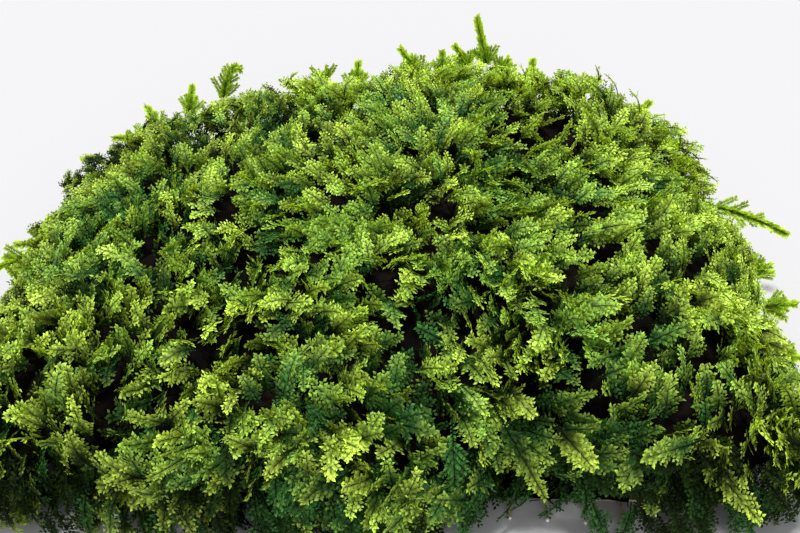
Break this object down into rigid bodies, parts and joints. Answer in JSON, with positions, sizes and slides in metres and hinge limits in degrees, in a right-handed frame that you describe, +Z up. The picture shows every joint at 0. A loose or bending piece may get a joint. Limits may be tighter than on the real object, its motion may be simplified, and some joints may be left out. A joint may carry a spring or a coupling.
{
  "type": "moss clump on wire mesh",
  "caption": "Low, lumpy cushion of fir-like moss fronds grown over a flat square of wire mesh that it rests on, with single shoots standing clear.",
  "frame": {"origin": "on the underside of the wire mesh, at its middle wire crossing, which is the surface that the clump rests on", "axes": "+X across the clump's long way, +Y from its front, where the cut wire ends show, to its back, +Z up"},
  "size_m": [0.1322, 0.1031, 0.0364],
  "materials": {
    "mesh_wire": "thin drawn steel wire, dulled and slightly tarnished, with bright cut ends",
    "old_growth": "matt, very dark brown felt of dead moss stems",
    "moss": "fine moist moss leaves, softly glossy, letting light through, near-black between the fronds",
    "young_shoot": "fresh yellow-green moss leaves, softly glossy, letting light through"
  },
  "bodies": {
    "root": {"wire_mesh": "mesh_wire", "old_growth_mat": "old_growth", "moss_cushion": "moss", "back_spire": "young_shoot", "back_twin_long": "young_shoot", "back_twin_short": "young_shoot", "back_leaning_shoot": "young_shoot", "back_notch_shoot": "young_shoot", "back_forked_shoot": "young_shoot", "back_dart": "young_shoot", "back_long_dart": "young_shoot", "back_broad_shoot": "young_shoot", "back_thin_shoot": "young_shoot", "back_curl": "young_shoot", "back_post": "young_shoot", "back_left_shoot": "young_shoot", "left_curl": "young_shoot", "left_high_shoot": "young_shoot", "left_middle_shoot": "young_shoot", "left_long_shoot": "young_shoot", "right_shoulder_shoot": "young_shoot", "right_trailing_sprig": "young_shoot", "right_upturned_shoot": "young_shoot", "right_low_shoot": "young_shoot", "right_front_shoot": "young_shoot"}
  },
  "joints": []
}
